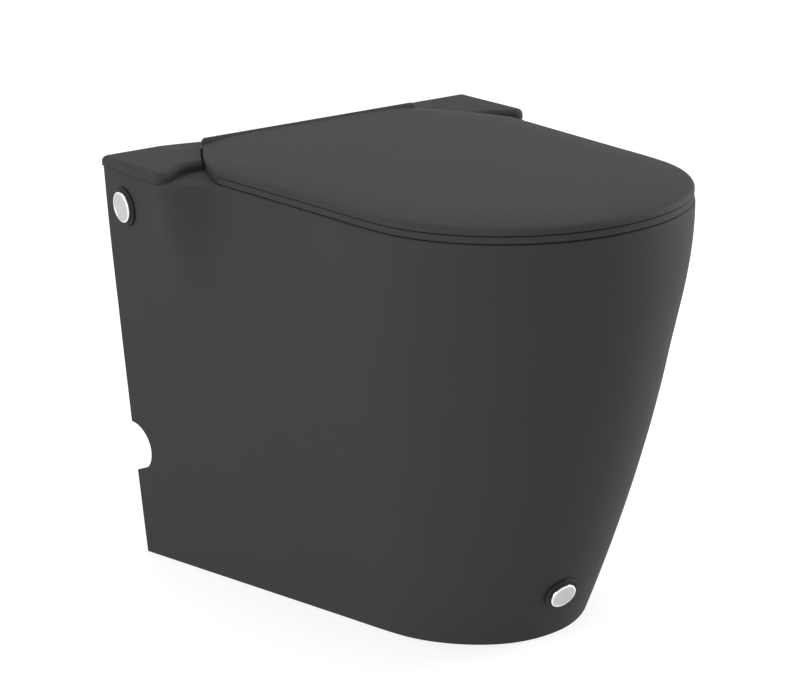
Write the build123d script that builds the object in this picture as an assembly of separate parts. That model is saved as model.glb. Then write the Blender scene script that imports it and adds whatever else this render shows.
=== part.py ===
from build123d import *
from math import atan2, cos, degrees, hypot, pi, sin
import os

# Back to wall toilet, in millimetres.
# Z is up, the front faces -Y, the wall is at +Y and the object is symmetric about X = 0.
# A place along the depth is given as a distance from the wall, and wall() turns it into Y.

# Pan outside
DEPTH = 515.0
PAN_HEIGHT = 375.0
EAR_HALF = 192.0
EAR_TAPER = 0.02
NECK_START = 106.0
NECK_END = 157.0
RIM_HALF_AT_WALL = 163.0
RIM_TAPER = 0.062
RIM_STRAIGHT = 371.0
RIM_REACH = DEPTH - 0.6
RIM_ROUND = 2.1
FOOT_HALF_AT_WALL = 183.0
FOOT_TAPER = 0.28
FOOT_STRAIGHT = 300.0
FOOT_REACH = 388.0
FOOT_ROUND = 2.2
FLARE_POWER = 1.52
SHOULDER_DROP = 125.0
RIM_LEDGE = 1.0
PAN_EDGE_ROUND = 2.5

# Pan walls
SHROUD_WALL = 11.0
DECK_THICKNESS = 16.0
BOWL_WALL = 10.0
BEAM_HALF = 128.0
BEAM_THICKNESS = 14.0
BEAM_HEIGHT = 96.0
NOTCH_RADIUS = 24.0
NOTCH_HEIGHT = 107.0

# Bowl
BOWL_CENTRE = 322.0
BOWL_LENGTH_HALF = 147.0
BOWL_WIDTH_HALF = 108.0
BOWL_ROUND = 2.2
BOWL_LIP_ROUND = 5.0
BOWL_WAIST_DROP = 110.0
BOWL_WAIST_CENTRE = 316.0
BOWL_WAIST_LENGTH = 130.0
BOWL_WAIST_WIDTH = 94.0
BOWL_THROAT_DROP = 175.0
BOWL_THROAT_CENTRE = 306.0
BOWL_THROAT_LENGTH = 90.0
BOWL_THROAT_WIDTH = 66.0
SUMP_HEIGHT = 92.0
SUMP_CENTRE = 296.0
SUMP_RADIUS = 37.0

# Trapway and water connections
TRAP_BORE = 33.0
TRAP_WALL = 9.0
TRAP_BEND = 46.0
OUTLET_HEIGHT = 180.0
OUTLET_OUTER = 51.0
OUTLET_BORE = 42.0
OUTLET_LENGTH = 60.0
OUTLET_SETBACK = 8.0
OUTLET_CONE = 24.0
CREST_HEIGHT = 246.0
CREST_BACK = 138.0
CREST_FRONT = 208.0
DIP_HEIGHT = 112.0
DIP_FRONT = 240.0
DIP_START = 300.0
OUTLET_BEND = 106.0
INLET_DROP = 62.0
INLET_BORE = 28.0
INLET_DEPTH = 62.0
INLET_THROAT = 24.0
INLET_WALL = 9.0
INLET_SETBACK = 6.0

# Seat ring and lid
RING_GAP = 0.8
RING_THICKNESS = 5.4
RING_BACK = 94.0
RING_OPENING_CENTRE = 318.0
RING_OPENING_LENGTH = 146.0
RING_OPENING_WIDTH = 100.0
RING_INSET = 0.4
RING_HOLLOW = 2.6
RING_WEB = 9.0
LID_GAP = 0.7
LID_EDGE = 5.8
LID_CROWN = 3.2
LID_CROWN_INSET = 46.0
LID_HOLLOW = 2.6
LID_WEB = 13.0
RING_EDGE_ROUND = 1.2
LID_EDGE_ROUND = 4.2
SHOULDER_BACK = 147.0
NECK_HALF = 112.0
NECK_BOW = 5.0
SEAT_OPEN = 92.0
LID_OPEN = 92.0

# Hinge
AXIS_BACK = 40.0
KNUCKLE = 5.0
BARREL_RISE = 1.5
BARREL_END_ROUND = 2.4
PIN_RADIUS = 2.5
SPINDLE_FLAT = 1.7
RUN_CLEARANCE = 0.05
HINGE_SPACING = 155.0
POST_WIDTH = 24.5
ARM_WIDTH = 16.0
ARM_BACK = 4.0
ARM_FRONT = 7.0
ARM_RELIEF = 9.5
SIDE_GAP = 0.5
KNUCKLE_GAP = 0.8
POST_LEG = 7.0
POST_LEG_SHIFT = 1.6
POST_FOOT_BACK = 36.0
POST_FOOT_FRONT = 84.0
POST_FOOT_THICKNESS = 1.8
GASKET_THICKNESS = 0.8
BOLT_BACK = 66.0
BOLT_RADIUS = 3.0
BOLT_HEAD_RADIUS = 6.0
BOLT_HEAD_HEIGHT = 2.2
BOLT_LENGTH = 46.0
WASHER_RADIUS = 7.5
WASHER_THICKNESS = 0.8
SLEEVE_RADIUS = 7.0
SLEEVE_LENGTH = 27.0
NUT_LENGTH = 11.0
DECK_HOLE = 7.4
DAMPER_RADIUS = 4.0
DAMPER_LENGTH = 15.0
PIN_SEAT = 6.5
PIN_REACH = 14.0

# Rear cover plate
COVER_THICKNESS = 9.0
COVER_OVERHANG = 2.4
COVER_EAR_FRONT = 119.0
COVER_FRONT = 88.0
COVER_EAR_WIDTH = 35.0
COVER_EAR_ROUND = 8.0
COVER_NECK_ROUND = 24.0
COVER_EDGE_ROUND = 5.5
COVER_BAY_ROUND = 1.5
COVER_BAY_MARGIN = 1.5
COVER_STRIP = 33.6
SADDLE_HALF = 96.0
SADDLE_DROP = 3.4
SADDLE_RAMP = 44.0

# Buffers
SEAT_BUFFER = (24.0, 9.0)
SEAT_BUFFER_BACK = 205.0
SEAT_BUFFER_FRONT = 415.0
LID_BUFFER = 6.0
LID_BUFFER_BACK = 240.0
LID_BUFFER_FRONT = 430.0
BUFFER_CLEARANCE = 0.3

# Side and front fixings
UPPER_CAP_BACK = 37.0
UPPER_CAP_DROP = 32.0
LOWER_CAP_HEIGHT = 48.0
UPPER_CAP_RADIUS = 14.0
UPPER_RING_RADIUS = 17.5
LOWER_CAP_RADIUS = 12.0
LOWER_RING_RADIUS = 15.5
RING_FLANGE = 2.4
RING_LIP = 1.2
FIXING_HOLE = 10.5
FIXING_SLEEVE = 10.0
FIXING_SLEEVE_BORE = 7.2
CAP_DOME = 2.2
CAP_STANDOFF = 3.2
CAP_STEM = 7.0
CAP_STEM_LENGTH = 5.0
HEAD_GAP = 1.2
FIXING_SCREW = 3.0
FIXING_HEAD = 5.6
FIXING_HEAD_HEIGHT = 3.2
FIXING_SCREW_LENGTH = 34.0
LOWER_SCREW_LENGTH = 54.0
BRACKET_THICKNESS = 4.0
BRACKET_HEIGHT = 34.0
BRACKET_REACH = 52.0
BRACKET_FLANGE = 42.0
BRACKET_HOLE = 3.5
BRACKET_GAP = 8.0
FLOOR_BRACKET_WIDTH = 36.0
FLOOR_BRACKET_LENGTH = 60.0
FLOOR_HOLE_SPACING = 20.0
WALL_HOLE_INSET = 47.0

# Flush splitter
SPLITTER_BACK = 146.0
SPLITTER_LENGTH = 26.0
SPLITTER_WALL = 2.0
SPLITTER_VANE = 2.5
SPLITTER_FIT = 0.3

# Levels derived from the sizes above
RING_BOTTOM = PAN_HEIGHT + RING_GAP
RING_TOP = RING_BOTTOM + RING_THICKNESS
LID_BOTTOM = RING_TOP + LID_GAP
LID_SHOULDER = LID_BOTTOM + LID_EDGE
LID_TOP = LID_SHOULDER + LID_CROWN
AXIS_HEIGHT = LID_TOP + BARREL_RISE - KNUCKLE
COVER_TOP = PAN_HEIGHT + COVER_THICKNESS
COVER_NECK_HALF = EAR_HALF - COVER_EAR_WIDTH
INLET_HEIGHT = PAN_HEIGHT - INLET_DROP
POST_INNER = HINGE_SPACING / 2 - POST_WIDTH / 2
POST_OUTER = HINGE_SPACING / 2 + POST_WIDTH / 2
ARM_INNER = POST_OUTER + SIDE_GAP
ARM_OUTER = ARM_INNER + ARM_WIDTH
EPS = 0.01


def wall(back):
    """Y of a place that lies a distance in front of the wall."""
    return DEPTH / 2 - back


def mix(low, high, share):
    return low + (high - low) * share


def ease(share):
    share = min(max(share, 0.0), 1.0)
    return share * share * (3 - 2 * share)


def rim_half(back):
    """Half width of the straight part of the rim, on which the seat lies."""
    return RIM_HALF_AT_WALL - RIM_TAPER * back


def foot_half(back):
    return FOOT_HALF_AT_WALL - FOOT_TAPER * back


def crest_half(back):
    """Half width of the pan's top edge: an ear at the wall, then a neck into the rim."""
    share = ease((back - NECK_START) / (NECK_END - NECK_START))
    return mix(EAR_HALF - EAR_TAPER * back, rim_half(back) + RIM_LEDGE, share)


def flare(height):
    """0 at the floor and 1 at the rim, steep at first and then easing out."""
    return 1 - (1 - min(max(height / PAN_HEIGHT, 0.0), 1.0)) ** FLARE_POWER


def side_half(height, back):
    """Half width of the pan's side at a height and a distance from the wall."""
    share = flare(height)
    start = mix(FOOT_STRAIGHT, RIM_STRAIGHT, share)
    rear = mix(FOOT_HALF_AT_WALL, EAR_HALF, share)
    front = mix(foot_half(FOOT_STRAIGHT), rim_half(RIM_STRAIGHT) + RIM_LEDGE, share)
    plain = rear + (front - rear) * back / start
    shoulder = ease((height - PAN_HEIGHT + SHOULDER_DROP) / SHOULDER_DROP)
    return mix(plain, crest_half(back), shoulder)


SIDE_SHARES = (0.0, 0.15, 0.24, 0.285, 0.32, 0.355, 0.39, 0.43, 0.5, 0.65, 0.82, 1.0)
NOSE_STEPS = 7


def pan_outline(height, inset=0.0, overrun=0.0):
    """Half of a level section of the pan, from the wall to the tip, as (half width, distance)."""
    share = flare(height)
    start = mix(FOOT_STRAIGHT, RIM_STRAIGHT, share)
    reach = mix(FOOT_REACH, RIM_REACH, share)
    power = mix(FOOT_ROUND, RIM_ROUND, share)
    half = side_half(height, start)
    slope = side_half(height, start) - side_half(height, start - 1)
    points = []
    for part in SIDE_SHARES:
        back = mix(-overrun, start, part)
        points.append((side_half(height, back) - inset, back))
    for step in range(1, NOSE_STEPS + 1):
        turn = pi / 2 * step / NOSE_STEPS
        back = start + (reach - start - inset) * sin(turn) ** (2 / power)
        taper = half + slope * (back - start) - inset
        points.append((taper * max(cos(turn), 0.0) ** (2 / power), back))
    return points


def spacing(half_points):
    """Running chord length of an outline, from 0 to 1, so that stacked sections share one spacing."""
    steps = [0.0]
    for (x0, y0), (x1, y1) in zip(half_points, half_points[1:]):
        steps.append(steps[-1] + hypot(x1 - x0, y1 - y0))
    half = [step / steps[-1] / 2 for step in steps]
    return half + [1 - step for step in reversed(half[:-1])]


def mirrored_face(half_points, height, shares=None):
    """A flat face from half an outline: its mirror image, and a straight back edge."""
    left = [(-x, wall(back), height) for x, back in half_points]
    right = [(x, wall(back), height) for x, back in reversed(half_points[:-1])]
    left[-1] = (0.0, left[-1][1], height)
    curve = Edge.make_spline([Vector(*p) for p in left + right], parameters=shares or spacing(half_points))
    return make_face([curve, Line(curve @ 1, curve @ 0)])


def oval_face(height, centre, length_half, width_half, power):
    """A closed superellipse, for the bowl and the seat's opening."""
    count = 28
    points = []
    for step in range(count):
        turn = 2 * pi * step / count
        across = width_half * abs(cos(turn)) ** (2 / power) * (1 if cos(turn) >= 0 else -1)
        along = length_half * abs(sin(turn)) ** (2 / power) * (1 if sin(turn) >= 0 else -1)
        points.append((across, wall(centre) + along, height))
    return make_face([Spline(*points, periodic=True)])


def drum(radius, length, centre, axis="Z"):
    """A cylinder whose middle is at centre, along X, Y or Z."""
    turn = {"X": (0, 90, 0), "Y": (90, 0, 0), "Z": (0, 0, 0)}[axis]
    return Pos(*centre) * Rot(*turn) * Cylinder(radius, length)


def block(low, high):
    """A box from its lowest to its highest corner."""
    size = [b - a for a, b in zip(low, high)]
    middle = [(a + b) / 2 for a, b in zip(low, high)]
    return Pos(*middle) * Box(*size)


def prism_x(points, x_low, x_high):
    """A solid with its profile in (distance from the wall, height), from x_low to x_high."""
    face = make_face(Polyline(*[(x_low, wall(back), z) for back, z in points], close=True))
    return extrude(face, amount=x_high - x_low, dir=(1, 0, 0))


def both_sides(part):
    return [part, mirror(part, about=Plane.YZ)]


def front_edges(part, height):
    """The edges at one height without the straight one at the back."""
    return [edge for edge in edges_at(part, height) if edge.bounding_box().size.Y > 1]


def edges_at(part, height, tolerance=0.05):
    """The edges that lie wholly at one height."""
    found = []
    for edge in part.edges():
        box = edge.bounding_box()
        if abs(box.min.Z - height) < tolerance and abs(box.max.Z - height) < tolerance:
            found.append(edge)
    return found


# Pan

def pan_body(low, high, inset, overrun):
    """The pan's form in two lofts, the plain skirt and the part with the shoulders, on shared sections."""
    waist = PAN_HEIGHT - SHOULDER_DROP
    shares = spacing(pan_outline(waist))
    body = []
    for start, end, steps in ((low, waist, 5), (waist, high, 5)):
        heights = [mix(start, end, step / steps) for step in range(steps + 1)]
        body.append(loft([mirrored_face(pan_outline(z, inset, overrun), z, shares) for z in heights]))
    return body[0] + body[1]


def pan_shell():
    outside = pan_body(0, PAN_HEIGHT, 0.0, 0.0)
    outside = fillet(edges_at(outside, PAN_HEIGHT), PAN_EDGE_ROUND)
    inside = pan_body(-1, PAN_HEIGHT - DECK_THICKNESS, SHROUD_WALL, 2.0)
    return outside - inside


def bowl_sections(grow):
    lip = PAN_HEIGHT + 2 if grow == 0 else PAN_HEIGHT - DECK_THICKNESS / 2
    straight = PAN_HEIGHT - 42
    return loft([
        oval_face(lip, BOWL_CENTRE, BOWL_LENGTH_HALF + grow, BOWL_WIDTH_HALF + grow, BOWL_ROUND),
        oval_face(straight, BOWL_CENTRE, BOWL_LENGTH_HALF + grow, BOWL_WIDTH_HALF + grow, BOWL_ROUND),
        oval_face(PAN_HEIGHT - BOWL_WAIST_DROP, BOWL_WAIST_CENTRE, BOWL_WAIST_LENGTH + grow,
                  BOWL_WAIST_WIDTH + grow, BOWL_ROUND),
        oval_face(PAN_HEIGHT - BOWL_THROAT_DROP, BOWL_THROAT_CENTRE, BOWL_THROAT_LENGTH + grow,
                  BOWL_THROAT_WIDTH + grow, 2.1),
        oval_face(SUMP_HEIGHT + 48 - grow / 2, SUMP_CENTRE, SUMP_RADIUS + 12 + grow, SUMP_RADIUS + 6 + grow, 2.0),
        oval_face(SUMP_HEIGHT - grow, SUMP_CENTRE, SUMP_RADIUS - 6 + grow, SUMP_RADIUS - 6 + grow, 2.0),
    ])


def trap_path():
    route = [
        (0, wall(DIP_START), DIP_HEIGHT + 6),
        (0, wall(DIP_FRONT), DIP_HEIGHT - 12),
        (0, wall(CREST_FRONT), CREST_HEIGHT),
        (0, wall(CREST_BACK), CREST_HEIGHT),
        (0, wall(OUTLET_BEND), OUTLET_HEIGHT),
        (0, wall(OUTLET_SETBACK + OUTLET_LENGTH / 2), OUTLET_HEIGHT),
    ]
    return FilletPolyline(*route, radius=TRAP_BEND)


def trap_tube(radius):
    path = trap_path()
    section = Plane(origin=path @ 0, z_dir=path % 0) * Circle(radius)
    return sweep(section, path=path)


def cone_y(back_low, back_high, radius_low, radius_high, height):
    """A cone along Y between two distances from the wall."""
    low = Plane(origin=(0, wall(back_low), height), z_dir=(0, -1, 0)) * Circle(radius_low)
    high = Plane(origin=(0, wall(back_high), height), z_dir=(0, -1, 0)) * Circle(radius_high)
    return loft([low, high], ruled=True)


def pan_water_outside():
    bend = OUTLET_SETBACK + OUTLET_LENGTH
    middle = OUTLET_SETBACK + OUTLET_LENGTH / 2
    inlet_front = BOWL_CENTRE - BOWL_LENGTH_HALF
    inlet = drum(INLET_BORE + INLET_WALL, inlet_front - INLET_SETBACK,
                 (0, wall((inlet_front + INLET_SETBACK) / 2), INLET_HEIGHT), "Y")
    spigot = drum(OUTLET_OUTER, OUTLET_LENGTH, (0, wall(middle), OUTLET_HEIGHT), "Y")
    cone = cone_y(bend, bend + OUTLET_CONE, OUTLET_OUTER, TRAP_BORE + TRAP_WALL, OUTLET_HEIGHT)
    return trap_tube(TRAP_BORE + TRAP_WALL) + spigot + cone + inlet


def pan_water_inside():
    bend = OUTLET_SETBACK + OUTLET_LENGTH
    inlet_front = BOWL_CENTRE - BOWL_LENGTH_HALF + BOWL_WALL
    mouth = drum(INLET_BORE, INLET_DEPTH + 2, (0, wall((INLET_DEPTH - 2) / 2), INLET_HEIGHT), "Y")
    throat = drum(INLET_THROAT, inlet_front + 2, (0, wall((inlet_front - 2) / 2), INLET_HEIGHT), "Y")
    spigot = drum(OUTLET_BORE, bend + 2, (0, wall((bend - 2) / 2), OUTLET_HEIGHT), "Y")
    cone = cone_y(bend, bend + OUTLET_CONE, OUTLET_BORE, TRAP_BORE, OUTLET_HEIGHT)
    return [trap_tube(TRAP_BORE), spigot, cone, mouth, throat]


def fixing_plane(height, back, front=False):
    """A plane on the pan's outer face whose Z axis is the face's outward normal."""
    if front:
        low, high = (mix(FOOT_REACH, RIM_REACH, flare(height + d)) for d in (-1, 1))
        reach = mix(FOOT_REACH, RIM_REACH, flare(height))
        return Plane(origin=(0, wall(reach), height), x_dir=(1, 0, 0), z_dir=(0, -1, -(high - low) / 2))
    along = (side_half(height, back + 1) - side_half(height, back - 1)) / 2
    rise = (side_half(height + 1, back) - side_half(height - 1, back)) / 2
    origin = (-side_half(height, back), wall(back), height)
    return Plane(origin=origin, x_dir=(0, -1, 0), z_dir=(-1, along, -rise))


def fixing_hole(plane, ring_radius):
    """The hole for a grommet, with a flat seat on the curved face for its flange."""
    seat = Pos(0, 0, RING_FLANGE) * Cylinder(ring_radius + 0.3, 2 * RING_FLANGE)
    return plane * (Cylinder(FIXING_HOLE, SHROUD_WALL * 4) + seat)


UPPER_PLANE = fixing_plane(PAN_HEIGHT - UPPER_CAP_DROP, UPPER_CAP_BACK)
LOWER_PLANE = fixing_plane(LOWER_CAP_HEIGHT, 0, front=True)


def make_pan():
    beam = block((-BEAM_HALF, wall(BEAM_THICKNESS), PAN_HEIGHT - BEAM_HEIGHT),
                 (BEAM_HALF, wall(0), PAN_HEIGHT - DECK_THICKNESS / 2))
    pan = pan_shell() + beam + bowl_sections(BOWL_WALL) + pan_water_outside()
    pan = pan - bowl_sections(0)
    for water in pan_water_inside():
        pan = pan - water
    for side in (-1, 1):
        bolt = (side * HINGE_SPACING / 2, wall(BOLT_BACK), PAN_HEIGHT - DECK_THICKNESS / 2)
        pan = pan - drum(DECK_HOLE, DECK_THICKNESS + 4, bolt)
        notch = (side * EAR_HALF, wall(0), NOTCH_HEIGHT)
        pan = pan - drum(NOTCH_RADIUS, 60, notch, "X")
    for hole in both_sides(fixing_hole(UPPER_PLANE, UPPER_RING_RADIUS)):
        pan = pan - hole
    return pan - fixing_hole(LOWER_PLANE, LOWER_RING_RADIUS)


# Seat and lid

NECK_SHARES = (0.0, 0.2, 0.4, 0.6, 0.8, 0.94, 1.0)
CORNER_STEPS = (7.0, 22.0, 48.0)


def neck_half(back):
    """Half width of the lid's neck, from the hinge to the shoulder."""
    share = (back - AXIS_BACK) / (SHOULDER_BACK - AXIS_BACK)
    return mix(NECK_HALF, rim_half(SHOULDER_BACK), share) + NECK_BOW * sin(pi * share)


def seat_outline(inset=0.0, back_end=AXIS_BACK):
    """Half outline of the seat and lid: a neck at the hinge, a shoulder, straight sides and a round nose."""
    points = [(neck_half(back_end) - inset, back_end)]
    for share in NECK_SHARES[1:]:
        back = mix(AXIS_BACK, SHOULDER_BACK, share)
        if back > back_end + 4:
            points.append((neck_half(back) - inset, back))
    middle = (SHOULDER_BACK + RIM_STRAIGHT) / 2
    sides = [SHOULDER_BACK + step for step in CORNER_STEPS]
    for back in sides + [middle, (middle + RIM_STRAIGHT) / 2, RIM_STRAIGHT]:
        points.append((rim_half(back) - inset, back))
    for step in range(1, NOSE_STEPS + 1):
        turn = pi / 2 * step / NOSE_STEPS
        back = RIM_STRAIGHT + (DEPTH - RIM_STRAIGHT - inset) * sin(turn) ** (2 / RIM_ROUND)
        points.append(((rim_half(back) - inset) * max(cos(turn), 0.0) ** (2 / RIM_ROUND), back))
    return points


def make_seat_ring():
    outline = seat_outline(RING_INSET, RING_BACK)
    ring = extrude(mirrored_face(outline, RING_BOTTOM), RING_THICKNESS)
    ring = fillet(front_edges(ring, RING_TOP), RING_EDGE_ROUND)
    hollow = extrude(mirrored_face(seat_outline(RING_WEB, RING_BACK + RING_WEB), RING_BOTTOM - 1), RING_HOLLOW + 1)
    keep = oval_face(RING_BOTTOM - 2, RING_OPENING_CENTRE, RING_OPENING_LENGTH + RING_WEB,
                     RING_OPENING_WIDTH + RING_WEB, BOWL_ROUND)
    ring = ring - (hollow - extrude(keep, RING_HOLLOW + 6))
    opening = oval_face(RING_BOTTOM - 2, RING_OPENING_CENTRE, RING_OPENING_LENGTH, RING_OPENING_WIDTH, BOWL_ROUND)
    ring = ring - extrude(opening, RING_THICKNESS + 6)
    arm_profile = [
        (AXIS_BACK - ARM_BACK, AXIS_HEIGHT), (AXIS_BACK + ARM_BACK, AXIS_HEIGHT),
        (AXIS_BACK + ARM_FRONT, RING_TOP), (RING_BACK + 12, RING_TOP),
        (RING_BACK + 12, RING_BOTTOM), (AXIS_BACK + ARM_BACK, RING_BOTTOM), (AXIS_BACK - ARM_BACK + 0.5, RING_TOP - 2),
    ]
    middle = (ARM_INNER + ARM_OUTER) / 2
    knuckle = drum(KNUCKLE, ARM_WIDTH, (middle, wall(AXIS_BACK), AXIS_HEIGHT), "X")
    arm = prism_x(arm_profile, ARM_INNER, ARM_OUTER) + knuckle
    for piece in both_sides(arm):
        ring = ring + piece
    ring = ring - drum(PIN_RADIUS + RUN_CLEARANCE, ARM_WIDTH + 2, (middle, wall(AXIS_BACK), AXIS_HEIGHT), "X")
    return ring - spindle(-ARM_OUTER + 2, -ARM_INNER + 1, 0.0)


def spindle(x_low, x_high, grow):
    """A round bar on the hinge axis with a flat on top, as a damper's spindle has."""
    middle = ((x_low + x_high) / 2, wall(AXIS_BACK), AXIS_HEIGHT)
    bar = drum(PIN_RADIUS + grow, x_high - x_low, middle, "X")
    top = AXIS_HEIGHT + SPINDLE_FLAT + grow
    return bar - block((x_low - 1, wall(AXIS_BACK) - 5, top), (x_high + 1, wall(AXIS_BACK) + 5, top + 5))


def lid_crown():
    """The lid's gentle dome, as sections that step inwards while they rise."""
    steps = ((LID_EDGE_ROUND - 0.6, 0.0), (14.0, 0.46), (28.0, 0.82), (LID_CROWN_INSET, 1.0))
    faces = []
    for inset, rise in steps:
        faces.append(mirrored_face(seat_outline(inset, AXIS_BACK), LID_SHOULDER - EPS + LID_CROWN * rise))
    return loft(faces)


def make_lid():
    lid = extrude(mirrored_face(seat_outline(), LID_BOTTOM), LID_EDGE)
    lid = fillet(front_edges(lid, LID_SHOULDER), LID_EDGE_ROUND)
    lid = lid + lid_crown()
    hollow = extrude(mirrored_face(seat_outline(LID_WEB, RING_BACK + LID_WEB), LID_BOTTOM - 1), LID_HOLLOW + 1)
    lid = lid - hollow
    barrel = drum(KNUCKLE, 2 * NECK_HALF - 1, (0, wall(AXIS_BACK), AXIS_HEIGHT), "X")
    lid = lid + fillet(barrel.edges().filter_by(GeomType.CIRCLE), BARREL_END_ROUND)
    bay = KNUCKLE + KNUCKLE_GAP
    for side in (-1, 1):
        middle = side * (POST_INNER + ARM_OUTER) / 2
        width = ARM_OUTER - POST_INNER + 2 * SIDE_GAP
        lid = lid - drum(bay, width, (middle, wall(AXIS_BACK), AXIS_HEIGHT), "X")
        lid = lid - block((middle - width / 2, wall(AXIS_BACK), LID_BOTTOM - 8),
                          (middle + width / 2, wall(AXIS_BACK) + 10, LID_TOP + 5))
        lid = lid - block((middle - width / 2, wall(AXIS_BACK + ARM_RELIEF), LID_BOTTOM - 1),
                          (middle + width / 2, wall(AXIS_BACK), AXIS_HEIGHT - 1.6))
    reach = POST_INNER - SIDE_GAP - PIN_REACH - 1
    left = drum(PIN_RADIUS + RUN_CLEARANCE, PIN_REACH + 2,
                (-(reach + PIN_REACH / 2 + 1), wall(AXIS_BACK), AXIS_HEIGHT), "X")
    return lid - left - spindle(reach + 1, POST_INNER, 0.0)


# Hinge

def make_post(side):
    """side is -1 for the post whose damper works the seat, and 1 for the one that works the lid."""
    centre = side * HINGE_SPACING / 2
    low = centre - POST_WIDTH / 2
    high = centre + POST_WIDTH / 2
    foot_bottom = PAN_HEIGHT + GASKET_THICKNESS
    foot = block((low, wall(POST_FOOT_FRONT), foot_bottom),
                 (high, wall(POST_FOOT_BACK), foot_bottom + POST_FOOT_THICKNESS))
    leg_middle = wall(AXIS_BACK + POST_LEG_SHIFT)
    leg = block((low, leg_middle - POST_LEG / 2, foot_bottom),
                (high, leg_middle + POST_LEG / 2, AXIS_HEIGHT - POST_LEG_SHIFT))
    barrel = drum(KNUCKLE, POST_WIDTH, (centre, wall(AXIS_BACK), AXIS_HEIGHT), "X")
    post = foot + leg + barrel
    post = post - drum(BOLT_RADIUS + 0.3, 20, (centre, wall(BOLT_BACK), foot_bottom))
    damper = (damper_span(side) - SIDE_GAP / 2, wall(AXIS_BACK), AXIS_HEIGHT)
    post = post - drum(DAMPER_RADIUS, DAMPER_LENGTH + SIDE_GAP, damper, "X")
    pin_middle = pin_span(side)
    return post - drum(PIN_RADIUS, PIN_SEAT, (pin_middle, wall(AXIS_BACK), AXIS_HEIGHT), "X")


def damper_span(side):
    """X of the middle of a damper body: outboard in the left post, inboard in the right one."""
    if side < 0:
        return -POST_OUTER + DAMPER_LENGTH / 2
    return POST_INNER + DAMPER_LENGTH / 2


def pin_span(side):
    """X of the middle of the pin's seat in the post, at the end away from the damper."""
    if side < 0:
        return -POST_INNER - PIN_SEAT / 2
    return POST_OUTER - PIN_SEAT / 2


def make_pin(side):
    seat = pin_span(side)
    inner = seat - PIN_SEAT / 2
    if side < 0:
        inner, outer = -POST_INNER - PIN_SEAT, -POST_INNER + SIDE_GAP + PIN_REACH
    else:
        inner, outer = POST_OUTER - PIN_SEAT, POST_OUTER + SIDE_GAP + PIN_REACH
    return drum(PIN_RADIUS, outer - inner, ((inner + outer) / 2, wall(AXIS_BACK), AXIS_HEIGHT), "X")


def make_damper(side):
    middle = damper_span(side)
    body = drum(DAMPER_RADIUS, DAMPER_LENGTH, (middle, wall(AXIS_BACK), AXIS_HEIGHT), "X")
    mouth = middle - DAMPER_LENGTH / 2
    socket = drum(PIN_RADIUS + RUN_CLEARANCE, DAMPER_LENGTH - 4,
                  (mouth + (DAMPER_LENGTH - 4) / 2, wall(AXIS_BACK), AXIS_HEIGHT), "X")
    body = body - socket
    tip = mouth + DAMPER_LENGTH - 5
    if side < 0:
        end = -ARM_OUTER + 2
    else:
        end = POST_INNER - SIDE_GAP - PIN_REACH
    shaft = drum(PIN_RADIUS, tip - mouth, ((tip + mouth) / 2, wall(AXIS_BACK), AXIS_HEIGHT), "X")
    return body, shaft + spindle(end, mouth, 0.0)


def hinge_hardware():
    """Gasket, bolt, washer, rubber sleeve and cone nut of the two top-fix anchors."""
    centre = HINGE_SPACING / 2
    y = wall(BOLT_BACK)
    gasket = block((centre - POST_WIDTH / 2, wall(POST_FOOT_FRONT), PAN_HEIGHT),
                   (centre + POST_WIDTH / 2, wall(POST_FOOT_BACK), PAN_HEIGHT + GASKET_THICKNESS))
    gasket = gasket - drum(BOLT_RADIUS + 0.3, 8, (centre, y, PAN_HEIGHT))
    seat = PAN_HEIGHT + GASKET_THICKNESS + POST_FOOT_THICKNESS
    washer = drum(WASHER_RADIUS, WASHER_THICKNESS, (centre, y, seat + WASHER_THICKNESS / 2))
    washer = washer - drum(BOLT_RADIUS + 0.3, 8, (centre, y, seat))
    head_bottom = seat + WASHER_THICKNESS
    head = drum(BOLT_HEAD_RADIUS, BOLT_HEAD_HEIGHT, (centre, y, head_bottom + BOLT_HEAD_HEIGHT / 2))
    head = fillet(edges_at(head, head_bottom + BOLT_HEAD_HEIGHT), 0.6)
    shank = drum(BOLT_RADIUS, BOLT_LENGTH, (centre, y, head_bottom - BOLT_LENGTH / 2))
    socket = extrude(Plane((centre, y, head_bottom + BOLT_HEAD_HEIGHT + EPS)) * RegularPolygon(2.9, 6), -1.4)
    bolt = head + shank - socket
    sleeve_bottom = PAN_HEIGHT - SLEEVE_LENGTH
    sleeve = drum(SLEEVE_RADIUS, SLEEVE_LENGTH, (centre, y, PAN_HEIGHT - SLEEVE_LENGTH / 2))
    sleeve = sleeve - drum(BOLT_RADIUS, SLEEVE_LENGTH + 2, (centre, y, PAN_HEIGHT - SLEEVE_LENGTH / 2))
    nut = Pos(centre, y, sleeve_bottom - NUT_LENGTH / 2) * Cone(SLEEVE_RADIUS, SLEEVE_RADIUS - 2, NUT_LENGTH)
    nut = nut - drum(BOLT_RADIUS, NUT_LENGTH + 2, (centre, y, sleeve_bottom - NUT_LENGTH / 2))
    return gasket, washer, bolt, sleeve, nut


# Rear cover plate

BAY_STEPS = 4


def bay_half(back):
    """Half width of the recess in the cover in which the lid's neck lies."""
    return neck_half(back) + COVER_BAY_MARGIN


def on_bay(edge):
    """Whether an edge of the cover's top lies along the recess for the lid's neck."""
    back = DEPTH / 2 - edge.center().Y
    return COVER_STRIP - 1 < back < COVER_FRONT - 1 and abs(edge.center().X) < bay_half(max(back, AXIS_BACK)) + 1


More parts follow.
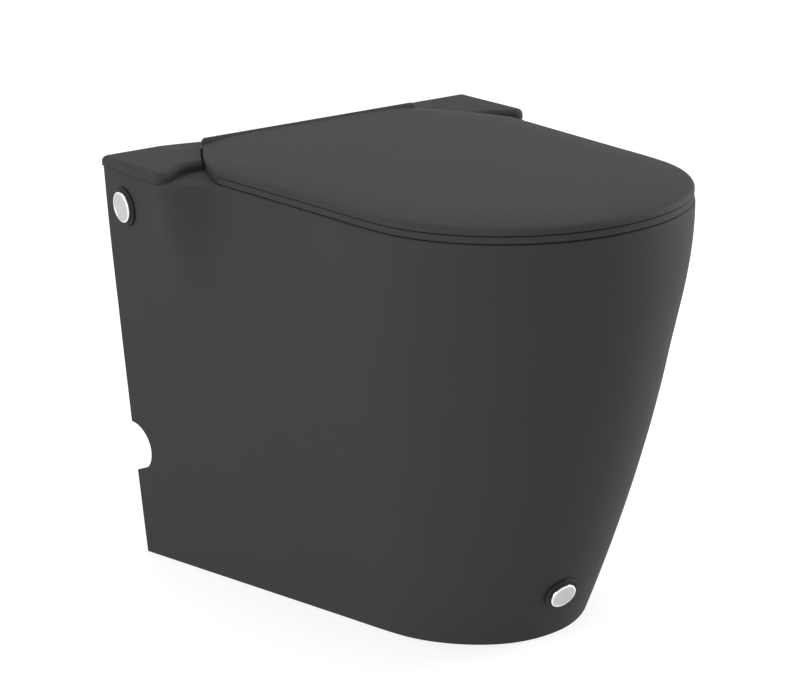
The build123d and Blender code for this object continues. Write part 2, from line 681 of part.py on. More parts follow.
def make_hinge_cover():
    side = EAR_HALF + COVER_OVERHANG
    front_side = side - EAR_TAPER * COVER_EAR_FRONT
    bay_backs = [mix(AXIS_BACK, COVER_FRONT, step / BAY_STEPS) for step in range(BAY_STEPS + 1)]
    curve = [(bay_half(back), wall(back)) for back in bay_backs]
    start = (bay_half(AXIS_BACK), wall(COVER_STRIP))
    outside = Polyline(curve[-1], (COVER_NECK_HALF, wall(COVER_FRONT)), (front_side, wall(COVER_EAR_FRONT)),
                       (side, wall(0)), (0, wall(0)))
    inside = [Spline(*curve), Line(curve[0], start), Line(start, (0, start[1])), Line((0, start[1]), (0, wall(0)))]
    half = make_face(outside.edges() + [edge for piece in inside for edge in piece.edges()])
    cover = extrude(Plane.XY.offset(PAN_HEIGHT) * half, COVER_THICKNESS)
    cover = cover + mirror(cover, about=Plane.YZ)
    for edge in cover.edges().filter_by(Axis.Z):
        place = edge.center()
        if abs(abs(place.X) - front_side) < 0.1 and abs(place.Y - wall(COVER_EAR_FRONT)) < 0.1:
            cover = fillet(cover.edges().filter_by(Axis.Z).sort_by_distance(place)[0], COVER_EAR_ROUND)
    for sign in (-1, 1):
        place = (sign * COVER_NECK_HALF, wall(COVER_FRONT), PAN_HEIGHT + COVER_THICKNESS / 2)
        cover = fillet(cover.edges().filter_by(Axis.Z).sort_by_distance(place)[0], COVER_NECK_ROUND)
        corner = (sign * side, wall(0), PAN_HEIGHT + COVER_THICKNESS / 2)
        cover = fillet(cover.edges().filter_by(Axis.Z).sort_by_distance(corner)[0], 3.0)
    cover = fillet([edge for edge in edges_at(cover, COVER_TOP) if not on_bay(edge)], COVER_EDGE_ROUND)
    cover = fillet([edge for edge in edges_at(cover, COVER_TOP) if on_bay(edge)], COVER_BAY_ROUND)
    low = COVER_TOP - SADDLE_DROP
    saddle = make_face(Polyline(
        (-SADDLE_HALF, wall(-2), low), (SADDLE_HALF, wall(-2), low),
        (SADDLE_HALF + SADDLE_RAMP, wall(-2), COVER_TOP + EPS),
        (-SADDLE_HALF - SADDLE_RAMP, wall(-2), COVER_TOP + EPS), close=True))
    cover = cover - extrude(saddle, amount=COVER_STRIP + 4, dir=(0, -1, 0))
    return cover


# Buffers

def seat_buffers():
    pads = []
    for back in (SEAT_BUFFER_BACK, SEAT_BUFFER_FRONT):
        outer = rim_half(back) if back < RIM_STRAIGHT else 0.94 * rim_half(back)
        inside = RING_OPENING_WIDTH * (1 - (abs(back - RING_OPENING_CENTRE) / RING_OPENING_LENGTH) ** BOWL_ROUND) ** (1 / BOWL_ROUND)
        x = (outer + inside) / 2
        low = (x - SEAT_BUFFER[1] / 2, wall(back) - SEAT_BUFFER[0] / 2, PAN_HEIGHT + BUFFER_CLEARANCE)
        high = (x + SEAT_BUFFER[1] / 2, wall(back) + SEAT_BUFFER[0] / 2, RING_BOTTOM + RING_HOLLOW)
        pads += both_sides(block(low, high))
    return Compound(children=pads)


def lid_buffers():
    pads = []
    for back in (LID_BUFFER_BACK, LID_BUFFER_FRONT):
        x = rim_half(back) * (0.82 if back < RIM_STRAIGHT else 0.62)
        low = RING_TOP + BUFFER_CLEARANCE
        high = LID_BOTTOM + LID_HOLLOW
        pads += both_sides(drum(LID_BUFFER, high - low, (x, wall(back), (low + high) / 2)))
    return Compound(children=pads)


# Side and front fixings

HEAD_TOP = RING_FLANGE - CAP_STEM_LENGTH - HEAD_GAP
HEAD_SEAT = HEAD_TOP - FIXING_HEAD_HEIGHT


def grommet(plane, ring_radius):
    """A rubber ring on a sleeve through the wall, with a shoulder inside for the screw's head."""
    flange = Pos(0, 0, RING_FLANGE / 2) * Cylinder(ring_radius, RING_FLANGE)
    flange = fillet(flange.edges().group_by(Axis.Z)[-1], RING_LIP)
    sleeve = Pos(0, 0, -SHROUD_WALL / 2) * Cylinder(FIXING_SLEEVE, SHROUD_WALL)
    bore = Pos(0, 0, HEAD_SEAT + SHROUD_WALL) * Cylinder(FIXING_SLEEVE_BORE, 2 * SHROUD_WALL)
    shank = Cylinder(FIXING_SCREW, 4 * SHROUD_WALL)
    return plane * (flange + sleeve - bore - shank)


def cap(plane, radius):
    """A push-in cap: a thin dome on a short stem that fills the grommet's bore."""
    base = RING_FLANGE
    disc = Pos(0, 0, base + CAP_STANDOFF / 2) * Cylinder(radius, CAP_STANDOFF)
    disc = fillet(disc.edges().group_by(Axis.Z)[-1], CAP_DOME)
    stem = Pos(0, 0, base - CAP_STEM_LENGTH / 2) * Cylinder(CAP_STEM, CAP_STEM_LENGTH)
    hollow = Pos(0, 0, base - CAP_STEM_LENGTH / 2 - 1) * Cylinder(CAP_STEM - 1.2, CAP_STEM_LENGTH)
    return plane * (disc + stem - hollow)


def side_screw(plane, length):
    head = Pos(0, 0, (HEAD_TOP + HEAD_SEAT) / 2) * Cylinder(FIXING_HEAD, FIXING_HEAD_HEIGHT)
    head = fillet(head.edges().group_by(Axis.Z)[-1], 1.2)
    shank = Pos(0, 0, HEAD_SEAT - length / 2) * Cylinder(FIXING_SCREW, length)
    slot = Pos(0, 0, HEAD_TOP) * (Box(7, 1.2, 2.4) + Box(1.2, 7, 2.4))
    return plane * (head + shank - slot)


def wall_bracket():
    """An L of plate: one leg on the wall, the other behind the side hole."""
    height = PAN_HEIGHT - UPPER_CAP_DROP
    inner = side_half(height, 0) - SHROUD_WALL - BRACKET_GAP
    low_z = height - BRACKET_HEIGHT / 2
    high_z = PAN_HEIGHT - DECK_THICKNESS
    flange = block((-inner, wall(BRACKET_THICKNESS), low_z), (-inner + BRACKET_FLANGE, wall(0), high_z))
    leg = block((-inner, wall(BRACKET_REACH), low_z), (-inner + BRACKET_THICKNESS, wall(0), high_z))
    hole = drum(BRACKET_HOLE, 20, (WALL_HOLE_INSET - EAR_HALF, wall(0), height), "Y")
    tapped = UPPER_PLANE * Cylinder(FIXING_SCREW, 3 * FIXING_SCREW_LENGTH)
    return flange + leg - hole - tapped


def floor_bracket():
    """A floor plate with an upright behind the front hole."""
    front = wall(FOOT_REACH - SHROUD_WALL - BRACKET_GAP - BRACKET_THICKNESS)
    back = front + FLOOR_BRACKET_LENGTH
    half = FLOOR_BRACKET_WIDTH / 2
    rise = (front - LOWER_PLANE.origin.Y) * LOWER_PLANE.z_dir.Z / LOWER_PLANE.z_dir.Y
    plate = block((-half, front, 0), (half, back, BRACKET_THICKNESS))
    upright = block((-half, front, 0), (half, front + BRACKET_THICKNESS, LOWER_CAP_HEIGHT + rise + half * 0.7))
    bracket = plate + upright
    for side in (-1, 1):
        place = (side * FLOOR_HOLE_SPACING / 2, front + FLOOR_BRACKET_LENGTH * 0.6, 0)
        bracket = bracket - drum(BRACKET_HOLE, 20, place)
    return bracket - LOWER_PLANE * Cylinder(FIXING_SCREW, 3 * LOWER_SCREW_LENGTH)


def flush_splitter():
    """A moulded tube in the inlet with a vane that parts the water to the left and right."""
    outer = INLET_THROAT - SPLITTER_FIT
    middle = (0, wall(SPLITTER_BACK + SPLITTER_LENGTH / 2), INLET_HEIGHT)
    tube = drum(outer, SPLITTER_LENGTH, middle, "Y")
    tube = tube - drum(outer - SPLITTER_WALL, SPLITTER_LENGTH + 2, middle, "Y")
    vane = block((-SPLITTER_VANE / 2, wall(SPLITTER_BACK + SPLITTER_LENGTH), INLET_HEIGHT - outer + 1),
                 (SPLITTER_VANE / 2, wall(SPLITTER_BACK), INLET_HEIGHT + outer - 1))
    shelf = block((-outer + 1, wall(SPLITTER_BACK + SPLITTER_LENGTH), INLET_HEIGHT - SPLITTER_VANE / 2),
                  (outer - 1, wall(SPLITTER_BACK), INLET_HEIGHT + SPLITTER_VANE / 2))
    inside = drum(outer - EPS, SPLITTER_LENGTH, middle, "Y")
    return tube + ((vane + shelf) & inside)


def pair(part):
    return Compound(children=both_sides(part))


def build():
    gasket, washer, bolt, sleeve, nut = hinge_hardware()
    seat_body, seat_spindle = make_damper(-1)
    lid_body, lid_spindle = make_damper(1)
    return {
        "pan": make_pan(),
        "seat_ring": make_seat_ring(),
        "lid": make_lid(),
        "hinge_cover": make_hinge_cover(),
        "hinge_post_left": make_post(-1),
        "hinge_post_right": make_post(1),
        "hinge_pin_left": make_pin(-1),
        "hinge_pin_right": make_pin(1),
        "seat_damper_body": seat_body,
        "seat_damper_spindle": seat_spindle,
        "lid_damper_body": lid_body,
        "lid_damper_spindle": lid_spindle,
        "hinge_gaskets": pair(gasket),
        "hinge_washers": pair(washer),
        "hinge_bolts": pair(bolt),
        "anchor_sleeves": pair(sleeve),
        "anchor_nuts": pair(nut),
        "seat_buffers": seat_buffers(),
        "lid_buffers": lid_buffers(),
        "upper_grommets": pair(grommet(UPPER_PLANE, UPPER_RING_RADIUS)),
        "upper_caps": pair(cap(UPPER_PLANE, UPPER_CAP_RADIUS)),
        "upper_screws": pair(side_screw(UPPER_PLANE, FIXING_SCREW_LENGTH)),
        "wall_brackets": pair(wall_bracket()),
        "lower_grommet": grommet(LOWER_PLANE, LOWER_RING_RADIUS),
        "lower_cap": cap(LOWER_PLANE, LOWER_CAP_RADIUS),
        "lower_screw": side_screw(LOWER_PLANE, LOWER_SCREW_LENGTH),
        "floor_bracket": floor_bracket(),
        "flush_splitter": flush_splitter(),
    }


os.makedirs("parts", exist_ok=True)
for name, shape in build().items():
    export_step(shape, os.path.join("parts", name + ".step"))
    print(name, len(shape.solids()), round(shape.volume))
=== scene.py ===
# %% [markdown]
# # A back to wall toilet
#
# This is a ceramic pan whose skirt runs back to the wall, so that no pipe shows. On it lie a slim
# seat and lid that turn on one hinge axis, and a plastic cover that hides the deck behind them.
# The frame holds every solid piece in its real place and size, in metres: +Z is up, -Y is the
# front, and the wall is at +Y. This lesson gives the pieces their finish, makes the small bright
# caps again with more detail, and then sets the camera and the lights.

# %% Load the frame
from math import cos, hypot, radians, sin

import bmesh
import bpy
from mathutils import Matrix, Vector


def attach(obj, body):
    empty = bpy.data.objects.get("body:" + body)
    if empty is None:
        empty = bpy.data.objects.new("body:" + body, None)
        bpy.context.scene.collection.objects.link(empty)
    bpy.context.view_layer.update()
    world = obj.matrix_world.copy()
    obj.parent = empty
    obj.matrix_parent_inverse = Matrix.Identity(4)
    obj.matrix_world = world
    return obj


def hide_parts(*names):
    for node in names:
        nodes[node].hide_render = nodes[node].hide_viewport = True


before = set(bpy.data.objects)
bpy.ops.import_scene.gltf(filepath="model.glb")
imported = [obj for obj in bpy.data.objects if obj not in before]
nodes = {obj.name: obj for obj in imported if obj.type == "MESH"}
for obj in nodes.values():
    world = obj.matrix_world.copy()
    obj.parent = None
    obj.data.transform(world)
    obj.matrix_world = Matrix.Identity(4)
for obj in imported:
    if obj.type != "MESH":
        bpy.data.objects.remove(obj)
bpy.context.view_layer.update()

# %% [markdown]
# ## Reaching into the frame
#
# The exact solids arrive as loose triangles. For a large visible piece, a copy of its mesh is
# merged and shaded smooth, with its real edges kept sharp by their angle. The other way would be
# to model the same forms a second time by eye, which could only be less exact.

# %% A helper that makes a smooth copy of a solid
SHARP_ANGLE = radians(32)
MERGE_DISTANCE = 1e-6


def mark_edges(mesh, sharp_angle):
    """Smooth shading, with every edge that is steeper than the angle kept sharp."""
    work = bmesh.new()
    work.from_mesh(mesh)
    for face in work.faces:
        face.smooth = True
    for edge in work.edges:
        edge.smooth = not (edge.is_manifold and edge.calc_face_angle(0.0) > sharp_angle)
    work.to_mesh(mesh)
    work.free()


def dressed_copy(node, name, body, sharp_angle=SHARP_ANGLE):
    """A merged, smooth copy of a CAD node that stands for it."""
    mesh = nodes[node].data.copy()
    mesh.name = name
    work = bmesh.new()
    work.from_mesh(mesh)
    bmesh.ops.remove_doubles(work, verts=work.verts, dist=MERGE_DISTANCE)
    work.to_mesh(mesh)
    work.free()
    mesh.materials.clear()
    mark_edges(mesh, sharp_angle)
    piece = bpy.data.objects.new(name, mesh)
    bpy.context.scene.collection.objects.link(piece)
    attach(piece, body)
    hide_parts(node)
    print(name, "has", len(mesh.polygons), "faces")
    return piece


# %% [markdown]
# ## Small shared effects
#
# Several finishes need the same three effects: a soft mottle, as glaze and moulded plastic have
# when they cool, a fine grain that breaks up reflections, and the straight scratches of brushed
# steel. Each is built once as a node group with named inputs, and every material sets its own
# values. All of them read Object coordinates, so the pattern stays on the piece when it turns.

# %% Helpers for node groups
def new_group(name, inputs, outputs):
    group = bpy.data.node_groups.new(name, "ShaderNodeTree")
    for label, kind, default in inputs:
        socket = group.interface.new_socket(label, in_out="INPUT", socket_type=kind)
        socket.default_value = default
    for label, kind in outputs:
        group.interface.new_socket(label, in_out="OUTPUT", socket_type=kind)
    return group, group.nodes.new("NodeGroupInput"), group.nodes.new("NodeGroupOutput")


def link(tree, source, target):
    tree.links.new(source, target)


# %% The mottle group
NOISE_LOW = 0.3
NOISE_HIGH = 0.7


def make_mottle():
    inputs = [
        ("Size", "NodeSocketFloat", 20.0),
        ("Dark", "NodeSocketFloat", 0.95),
        ("Light", "NodeSocketFloat", 1.05),
    ]
    group, start, end = new_group("mottle", inputs, [("Factor", "NodeSocketFloat")])
    place = group.nodes.new("ShaderNodeTexCoord")
    noise = group.nodes.new("ShaderNodeTexNoise")
    noise.inputs["Detail"].default_value = 3.0
    noise.inputs["Roughness"].default_value = 0.55
    scale = group.nodes.new("ShaderNodeMapRange")
    link(group, place.outputs["Object"], noise.inputs["Vector"])
    link(group, start.outputs["Size"], noise.inputs["Scale"])
    link(group, noise.outputs["Fac"], scale.inputs["Value"])
    scale.inputs["From Min"].default_value = NOISE_LOW
    scale.inputs["From Max"].default_value = NOISE_HIGH
    link(group, start.outputs["Dark"], scale.inputs["To Min"])
    link(group, start.outputs["Light"], scale.inputs["To Max"])
    link(group, scale.outputs["Result"], end.inputs["Factor"])
    return group


mottle = make_mottle()
print("group", mottle.name, "is ready")

# %% The fine grain group
def make_grain():
    inputs = [
        ("Size", "NodeSocketFloat", 900.0),
        ("Coarse", "NodeSocketFloat", 120.0),
        ("Blend", "NodeSocketFloat", 0.5),
    ]
    group, start, end = new_group("fine_grain", inputs, [("Height", "NodeSocketFloat")])
    place = group.nodes.new("ShaderNodeTexCoord")
    fine = group.nodes.new("ShaderNodeTexNoise")
    coarse = group.nodes.new("ShaderNodeTexNoise")
    both = group.nodes.new("ShaderNodeMix")
    for noise, size in ((fine, "Size"), (coarse, "Coarse")):
        noise.inputs["Detail"].default_value = 2.0
        link(group, place.outputs["Object"], noise.inputs["Vector"])
        link(group, start.outputs[size], noise.inputs["Scale"])
    link(group, start.outputs["Blend"], both.inputs["Factor"])
    link(group, fine.outputs["Fac"], both.inputs["A"])
    link(group, coarse.outputs["Fac"], both.inputs["B"])
    link(group, both.outputs["Result"], end.inputs["Height"])
    return group


grain = make_grain()
print("group", grain.name, "is ready")

# %% The brushed lines group
def make_brushing():
    inputs = [("Across", "NodeSocketVector", (900.0, 900.0, 12.0))]
    group, start, end = new_group("brushed_lines", inputs, [("Height", "NodeSocketFloat")])
    place = group.nodes.new("ShaderNodeTexCoord")
    stretch = group.nodes.new("ShaderNodeVectorMath")
    stretch.operation = "MULTIPLY"
    noise = group.nodes.new("ShaderNodeTexNoise")
    noise.inputs["Scale"].default_value = 1.0
    noise.inputs["Detail"].default_value = 2.0
    link(group, place.outputs["Object"], stretch.inputs[0])
    link(group, start.outputs["Across"], stretch.inputs[1])
    link(group, stretch.outputs["Vector"], noise.inputs["Vector"])
    link(group, noise.outputs["Fac"], end.inputs["Height"])
    return group


brushing = make_brushing()
print("group", brushing.name, "is ready")

# %% [markdown]
# ## Finishes
#
# One helper builds a Principled material and feeds it from the groups: the mottle changes the
# base colour and the roughness a little, and the grain gives a shallow bump. Numbers that are the
# same all over a surface are set on the shader itself.

# %% A helper for finishes
def srgb(value):
    """One channel of a screen colour, from 0 to 255, as a linear value."""
    share = value / 255
    return share / 12.92 if share <= 0.04045 else ((share + 0.055) / 1.055) ** 2.4


def group_node(tree, group, values):
    node = tree.nodes.new("ShaderNodeGroup")
    node.node_tree = group
    for label, value in values.items():
        node.inputs[label].default_value = value
    return node


def finish(name, colour, roughness, mottle_values, grain_values, bump, metallic=0.0, specular=0.5):
    """A Principled material with a mottled colour and roughness and a fine bump."""
    material = bpy.data.materials.new(name)
    material.use_nodes = True
    tree = material.node_tree
    shader = tree.nodes["Principled BSDF"]
    shader.inputs["Metallic"].default_value = metallic
    shader.inputs["Specular IOR Level"].default_value = specular

    spread = group_node(tree, mottle, mottle_values)
    tint = tree.nodes.new("ShaderNodeMix")
    tint.data_type = "RGBA"
    tint.blend_type = "MULTIPLY"
    tint.inputs["Factor"].default_value = 1.0
    tint.inputs["A"].default_value = (*colour, 1.0)
    link(tree, spread.outputs["Factor"], tint.inputs["B"])
    link(tree, tint.outputs["Result"], shader.inputs["Base Color"])

    polish = tree.nodes.new("ShaderNodeMath")
    polish.operation = "MULTIPLY"
    polish.inputs[1].default_value = roughness
    link(tree, spread.outputs["Factor"], polish.inputs[0])
    link(tree, polish.outputs["Value"], shader.inputs["Roughness"])

    relief = tree.nodes.new("ShaderNodeBump")
    relief.inputs["Strength"].default_value = bump[0]
    relief.inputs["Distance"].default_value = bump[1]
    texture = group_node(tree, brushing if "Across" in grain_values else grain, grain_values)
    link(tree, texture.outputs["Height"], relief.inputs["Height"])
    link(tree, relief.outputs["Normal"], shader.inputs["Normal"])
    return material


# %% [markdown]
# The pan has a dark matte glaze. It is a little uneven where it ran and cooled, with a faint
# orange peel, and its highlights are wide and soft. The seat, lid and cover are moulded in a
# plastic of the same charcoal, with a finer and more even grain.

# %% Charcoal glaze and plastic
CHARCOAL = (srgb(47), srgb(47), srgb(48))
SOFT_HIGHLIGHT = 0.09

glaze = finish(
    "charcoal_glaze", CHARCOAL, 0.72,
    {"Size": 9.0, "Dark": 0.97, "Light": 1.03},
    {"Size": 700.0, "Coarse": 90.0, "Blend": 0.6}, (0.12, 0.0006), specular=SOFT_HIGHLIGHT)
seat_plastic = finish(
    "charcoal_plastic", CHARCOAL, 0.7,
    {"Size": 14.0, "Dark": 0.98, "Light": 1.02},
    {"Size": 1600.0, "Coarse": 400.0, "Blend": 0.4}, (0.1, 0.0003), specular=SOFT_HIGHLIGHT)
cover_plastic = finish(
    "charcoal_cover_plastic", CHARCOAL, 0.72,
    {"Size": 18.0, "Dark": 0.97, "Light": 1.03},
    {"Size": 1400.0, "Coarse": 500.0, "Blend": 0.5}, (0.12, 0.0003), specular=SOFT_HIGHLIGHT)
print("glaze and plastics:", glaze.name, seat_plastic.name, cover_plastic.name)

# %% [markdown]
# The caps have a satin chrome face inside a polished chrome rim, and their rings are soft black
# rubber. The face's satin roughness is real, and its colour, darker than the rim's, is a painted
# darker reflection. The hidden fixings are plain steel: the pins are ground bright, and the
# brackets are rolled plate with a dull zinc coat. The dampers, the cone nuts and the inlet's
# splitter are black engineering plastic.

# %% Metals, rubber and black plastic
CHROME = (0.85, 0.85, 0.86)
# The satin face colour: its rougher finish is real, and its darker value is a painted darker
# reflection.
SATIN_CHROME_PAINTED_DARKER = (0.5, 0.5, 0.51)
STEEL = (0.56, 0.56, 0.57)
ZINC = (0.62, 0.61, 0.58)
BLACK_RUBBER = (srgb(16), srgb(16), srgb(18))
BLACK_PLASTIC = (srgb(28), srgb(28), srgb(29))
ALONG_X = (14.0, 900.0, 900.0)
ALONG_Z = (900.0, 900.0, 14.0)

chrome = finish(
    "polished_chrome", CHROME, 0.09,
    {"Size": 60.0, "Dark": 0.94, "Light": 1.06},
    {"Size": 500.0, "Coarse": 120.0, "Blend": 0.5}, (0.02, 0.0002), metallic=1.0)
# Cap faces: real satin roughness, with a darker colour that paints a dimmer reflection.
satin_painted_darker = finish(
    "satin_chrome_painted_darker", SATIN_CHROME_PAINTED_DARKER, 0.24,
    {"Size": 90.0, "Dark": 0.94, "Light": 1.06},
    {"Size": 900.0, "Coarse": 260.0, "Blend": 0.5}, (0.05, 0.0002), metallic=1.0)
steel = finish(
    "ground_steel", STEEL, 0.32,
    {"Size": 80.0, "Dark": 0.92, "Light": 1.08}, {"Across": ALONG_X}, (0.15, 0.0002), metallic=1.0)
zinc = finish(
    "zinc_coated_steel", ZINC, 0.45,
    {"Size": 45.0, "Dark": 0.82, "Light": 1.12}, {"Across": ALONG_Z}, (0.2, 0.0003), metallic=1.0)
rubber = finish(
    "black_rubber", BLACK_RUBBER, 0.7,
    {"Size": 70.0, "Dark": 0.85, "Light": 1.15},
    {"Size": 2200.0, "Coarse": 500.0, "Blend": 0.4}, (0.3, 0.0002), specular=0.3)
black_plastic = finish(
    "black_moulded_plastic", BLACK_PLASTIC, 0.42,
    {"Size": 40.0, "Dark": 0.92, "Light": 1.08},
    {"Size": 1500.0, "Coarse": 400.0, "Blend": 0.4}, (0.15, 0.0002), specular=0.4)
print("small finishes:", [m.name for m in (chrome, satin_painted_darker, steel, zinc, rubber, black_plastic)])

# %% [markdown]
# ## The large pieces
#
# The pan, the seat ring, the lid and the rear cover carry the whole look. Their smooth copies get
# the charcoal finishes. The narrow shadow lines between them come from the real gaps.

# %% Pan, ring, lid and cover
LARGE = (
    ("pan", "pan_body", "root", glaze),
    ("hinge_cover", "rear_cover", "root", cover_plastic),
    ("seat_ring", "seat_ring_shell", "seat", seat_plastic),
    ("lid", "lid_shell", "lid", seat_plastic),
    ("hinge_post_left", "left_hinge_post", "root", cover_plastic),
    ("hinge_post_right", "right_hinge_post", "root", cover_plastic),
)
for node, name, body, material in LARGE:
    dressed_copy(node, name, body).data.materials.append(material)

# %% [markdown]
# ## Finishes on the hidden hardware
#
# The pins, dampers, bolts and brackets keep their exact solids. Only their material changes, by
# giving each node's slots the finish that its real piece has.

# %% Materials for the kept solids
HARDWARE = {
    "hinge_pin_left": steel, "hinge_pin_right": steel,
    "seat_damper_spindle": steel, "lid_damper_spindle": steel,
    "seat_damper_body": black_plastic, "lid_damper_body": black_plastic,
    "hinge_bolts": steel, "hinge_washers": steel, "hinge_gaskets": rubber,
    "anchor_sleeves": rubber, "anchor_nuts": black_plastic,
    "seat_buffers": rubber, "lid_buffers": rubber,
    "upper_screws": zinc, "lower_screw": zinc,
    "wall_brackets": zinc, "floor_bracket": zinc,
    "flush_splitter": black_plastic,
}
for name, material in HARDWARE.items():
    mesh = nodes[name].data
    mesh.materials.clear()
    mesh.materials.append(material)
print("hardware nodes:", len(HARDWARE))

# %% [markdown]
# ## Caps and rubber rings
#
# A screw is hidden high on each side and low on the front. Its cap is a thin chromed shell with a
# rolled rim round a shallow dish, pressed into a rubber ring. Both are turned shapes, so each is
# drawn as half a section and spun about its axis. A local grid on the pan's face gives the place:
# its Z axis is the face's outward normal.

# %% Where the fixings sit
UPPER_CENTRE = Vector((-0.1905, 0.2205, 0.343))
UPPER_NORMAL = Vector((-0.99821, -0.03953, -0.04498))
LOWER_CENTRE = Vector((0.0, -0.154256, 0.048))
LOWER_NORMAL = Vector((0.0, -0.90253, -0.43062))


def face_grid(centre, normal):
    """A matrix whose Z axis is the normal and whose origin is the centre."""
    turn = normal.normalized().to_track_quat("Z", "Y").to_matrix().to_4x4()
    return Matrix.Translation(centre) @ turn


# %% A helper that spins a section
SPIN_STEPS = 72
MM = 0.001


def spun(name, section, grid, face_material, rim_material, rim_from):
    """A closed turned shape from a half section of (radius, height) pairs in millimetres."""
    work = bmesh.new()
    chain = [work.verts.new((radius * MM, 0.0, height * MM)) for radius, height in section]
    for first, second in zip(chain, chain[1:]):
        work.edges.new((first, second))
    bmesh.ops.spin(
        work, geom=work.verts[:] + work.edges[:], cent=(0, 0, 0), axis=(0, 0, 1),
        angle=radians(360), steps=SPIN_STEPS, use_merge=True)
    bmesh.ops.remove_doubles(work, verts=work.verts, dist=MERGE_DISTANCE)
    bmesh.ops.recalc_face_normals(work, faces=work.faces)
    for face in work.faces:
        middle = face.calc_center_median()
        face.material_index = int(hypot(middle.x, middle.y) > rim_from * MM)
    bmesh.ops.transform(work, matrix=grid, verts=work.verts)
    mesh = bpy.data.meshes.new(name)
    work.to_mesh(mesh)
    work.free()
    mark_edges(mesh, radians(40))
    mesh.materials.append(face_material)
    mesh.materials.append(rim_material)
    piece = bpy.data.objects.new(name, mesh)
    bpy.context.scene.collection.objects.link(piece)
    return piece


def rounded(cx, cz, radius, start, end, steps=8):
    """Points of an arc in the section plane, from one angle to another in degrees."""
    return [
        (cx + radius * cos(radians(start + (end - start) * i / steps)),
         cz + radius * sin(radians(start + (end - start) * i / steps)))
        for i in range(steps + 1)
    ]


# %% [markdown]
# The rubber ring is a flange that lies on the glaze, with a sleeve that goes through the wall to
# the shoulder on which the screw's head sits. The section runs once round the rubber, so the
# spin closes it into a tube.

# %% Rubber rings
SLEEVE_OUTER = 10.0
SLEEVE_BORE = 7.2
SLEEVE_DEPTH = 11.0
HEAD_SEAT = 7.0
SHANK = 3.0
FLANGE = 2.4
FLANGE_LIP = 1.1
BORE_ROUND = 0.8


def ring_section(flange_radius):
    lip = rounded(flange_radius - FLANGE_LIP, FLANGE - FLANGE_LIP, FLANGE_LIP, 0, 90)
    inner = rounded(SLEEVE_BORE + BORE_ROUND, FLANGE - BORE_ROUND, BORE_ROUND, 90, 180)
    outline = [(SLEEVE_OUTER, -SLEEVE_DEPTH), (SLEEVE_OUTER, 0.0), (flange_radius, 0.0)]
    outline += lip + inner
    outline += [(SLEEVE_BORE, -HEAD_SEAT), (SHANK, -HEAD_SEAT), (SHANK, -SLEEVE_DEPTH)]
    return outline + [outline[0]]


# %% [markdown]
# The cap looks bright and dark at once: its rim and its hollow mirror different parts of the
# room, and the face of the dish also carries a darker colour than the rim, a painted darker
# reflection. The shell is thin, and a stem behind it grips the rubber.

# %% Chromed caps
CAP_HEIGHT = 3.2
RIM_ROLL = 1.1
RIM_WIDTH = 1.6
RIM_CURL = 150
CAP_FOOT = 0.5
DISH_DEPTH = 1.0
DISH_BOW = 0.55
DISH_STEPS = 8
STEM = 7.0
STEM_DEPTH = 2.6
STEM_WALL = 1.2


def cap_section(radius):
    top = FLANGE + CAP_HEIGHT
    dish_edge = radius - RIM_WIDTH
    outline = [(0.0, FLANGE), (STEM - STEM_WALL, FLANGE), (STEM - STEM_WALL, -STEM_DEPTH)]
    outline += [(STEM, -STEM_DEPTH), (STEM, FLANGE)]
    outline += [(radius - CAP_FOOT, FLANGE), (radius, FLANGE + CAP_FOOT)]
    outline += rounded(radius - RIM_ROLL, top - RIM_ROLL, RIM_ROLL, 0, RIM_CURL)
    for step in range(DISH_STEPS + 1):
        share = 1 - step / DISH_STEPS
        outline.append((dish_edge * share, top - DISH_DEPTH + DISH_BOW * DISH_DEPTH * share ** 2))
    return outline


# %% [markdown]
# The same sections serve both sizes: the upper pieces are the larger ones, and the one low on the
# front is the smaller. The left upper pair is spun in place, and its mirror image about the
# object's middle gives the right pair.

# %% Spin the rings and caps into place
def mirrored(piece, name):
    """The same piece on the other side, with its faces turned the right way out again."""
    mesh = piece.data.copy()
    work = bmesh.new()
    work.from_mesh(mesh)
    bmesh.ops.scale(work, vec=(-1, 1, 1), verts=work.verts)
    bmesh.ops.reverse_faces(work, faces=work.faces)
    work.to_mesh(mesh)
    work.free()
    other = bpy.data.objects.new(name, mesh)
    bpy.context.scene.collection.objects.link(other)
    return other


upper = face_grid(UPPER_CENTRE, UPPER_NORMAL)
lower = face_grid(LOWER_CENTRE, LOWER_NORMAL)
RING_RADII = (17.5, 15.5)
CAP_RADII = (14.0, 12.0)
FIXINGS = (
    ("rubber_ring", ring_section, RING_RADII, (rubber, rubber), "upper_grommets", "lower_grommet"),
    # Cap faces take the darker satin colour, a painted darker reflection; the rims take polished
    # chrome.
    ("cap", cap_section, CAP_RADII, (satin_painted_darker, chrome), "upper_caps", "lower_cap"),
)
for kind, section, (high, low), (face, rim), upper_node, lower_node in FIXINGS:
    left = spun("upper_" + kind + "_left", section(high), upper, face, rim, high - RIM_WIDTH)
    right = mirrored(left, "upper_" + kind + "_right")
    front = spun("lower_" + kind + "_front", section(low), lower, face, rim, low - RIM_WIDTH)
    for piece, node in ((left, upper_node), (right, upper_node), (front, lower_node)):
        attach(piece, "root")
        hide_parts(node)
    print(kind, "faces:", len(left.data.polygons))

# %% [markdown]
# ## Floor
#
# The object stands on a plain white floor that is lit from below, as a light table is, so only a
# faint shadow is left.

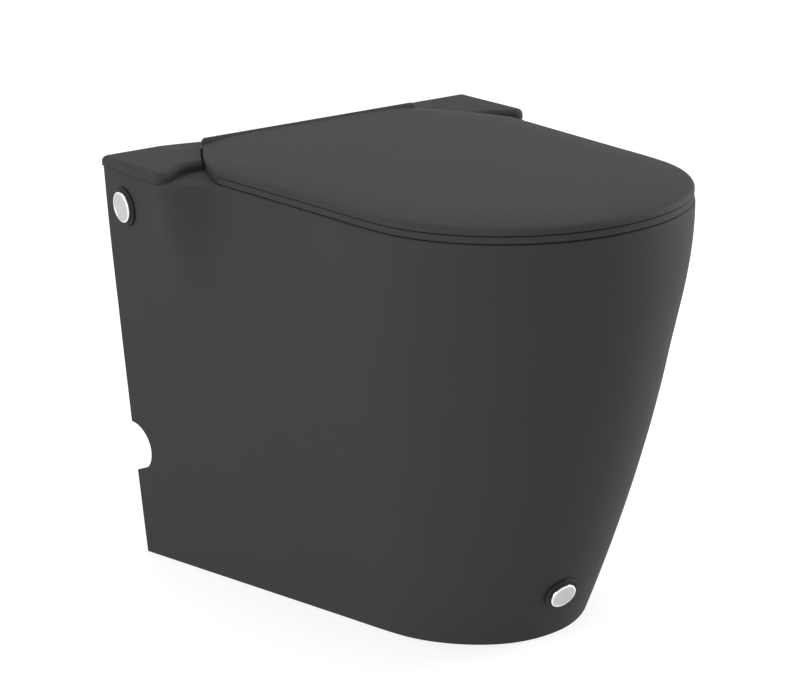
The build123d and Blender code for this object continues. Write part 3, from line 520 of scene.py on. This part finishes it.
# %% Floor
FLOOR_HALF = 12.0
PAPER_GREY = 0.3
PAPER_GLOW = 0.72
floor_mesh = bpy.data.meshes.new("floor")
floor_work = bmesh.new()
bmesh.ops.create_grid(floor_work, x_segments=2, y_segments=2, size=FLOOR_HALF)
floor_work.to_mesh(floor_mesh)
floor_work.free()
floor = bpy.data.objects.new("floor", floor_mesh)
bpy.context.scene.collection.objects.link(floor)
paper = bpy.data.materials.new("pale_paper")
paper.use_nodes = True
paper_shader = paper.node_tree.nodes["Principled BSDF"]
paper_shader.inputs["Base Color"].default_value = (PAPER_GREY, PAPER_GREY, PAPER_GREY, 1.0)
paper_shader.inputs["Emission Color"].default_value = (1.0, 1.0, 1.0, 1.0)
paper_shader.inputs["Emission Strength"].default_value = PAPER_GLOW
paper_shader.inputs["Roughness"].default_value = 0.9
paper_shader.inputs["Specular IOR Level"].default_value = 0.1
floor_mesh.materials.append(paper)
print("floor is ready")

# %% [markdown]
# ## Light
#
# The photograph has even, soft studio light from all round: the long side is one flat tone, a
# darker band stands where the front faces the camera, and a paler edge follows on the right. A
# white world gives most of that. One large softbox on each side lifts the long side and the
# right edge and leaves the band between them, and a third softbox lights the top.

# %% Lights
def soft_light(name, place, target, size, power):
    data = bpy.data.lights.new(name, "AREA")
    data.shape = "RECTANGLE"
    data.size = size[0]
    data.size_y = size[1]
    data.energy = power
    lamp = bpy.data.objects.new(name, data)
    lamp.location = Vector(place)
    lamp.rotation_euler = (Vector(target) - Vector(place)).to_track_quat("-Z", "Y").to_euler()
    bpy.context.scene.collection.objects.link(lamp)
    return lamp


MIDDLE = (0.0, 0.0, 0.2)
SOFTBOXES = (
    ("left_softbox", (-3.2, 0.1, 0.8), (2.4, 2.2), 64.0),
    ("right_softbox", (2.5, -0.7, 0.7), (1.2, 2.2), 84.0),
    ("top_softbox", (0.0, 0.4, 3.4), (3.0, 3.0), 37.0),
)
for name, place, size, power in SOFTBOXES:
    soft_light(name, place, MIDDLE, size, power)

world = bpy.data.worlds.new("pale_room")
bpy.context.scene.world = world
world.use_nodes = True
world_shader = world.node_tree.nodes["Background"]
world_shader.inputs["Color"].default_value = (1.0, 1.0, 1.0, 1.0)
world_shader.inputs["Strength"].default_value = 1.0
bpy.context.scene.view_settings.view_transform = "Standard"

# %% [markdown]
# ## Camera
#
# The camera stands ahead and to the left, a little above the lid. Its place, its turn and its
# lens were fitted to the object's edges in the photograph. The turns are about the vertical
# first, then downwards, and then about the line of sight.

# %% Camera
CAMERA_PLACE = Vector((-0.9896, -1.5507, 0.7974))
YAW = radians(31.34)
PITCH = radians(17.37)
ROLL = radians(-3.03)
LENS = 100.57
SENSOR = 36.0
SHIFT_X = -0.0051
SHIFT_Y = 0.0047


def camera_turn(yaw, pitch, roll):
    """The camera's axes as columns: right, up, and back towards the viewer."""
    forward = Vector((sin(yaw) * cos(pitch), cos(yaw) * cos(pitch), -sin(pitch)))
    right = Vector((cos(yaw), -sin(yaw), 0.0))
    up = right.cross(forward)
    level = cos(roll) * right + sin(roll) * up
    upright = -sin(roll) * right + cos(roll) * up
    return Matrix((level, upright, -forward)).transposed()


camera_data = bpy.data.cameras.new("photo_camera")
camera = bpy.data.objects.new("photo_camera", camera_data)
bpy.context.scene.collection.objects.link(camera)
camera.matrix_world = Matrix.Translation(CAMERA_PLACE) @ camera_turn(YAW, PITCH, ROLL).to_4x4()
camera_data.sensor_fit = "HORIZONTAL"
camera_data.sensor_width = SENSOR
camera_data.lens = LENS
camera_data.shift_x = SHIFT_X
camera_data.shift_y = SHIFT_Y
camera_data.clip_start = 0.05
camera_data.clip_end = 60.0
bpy.context.scene.camera = camera
print("camera at", [round(v, 3) for v in camera.location])
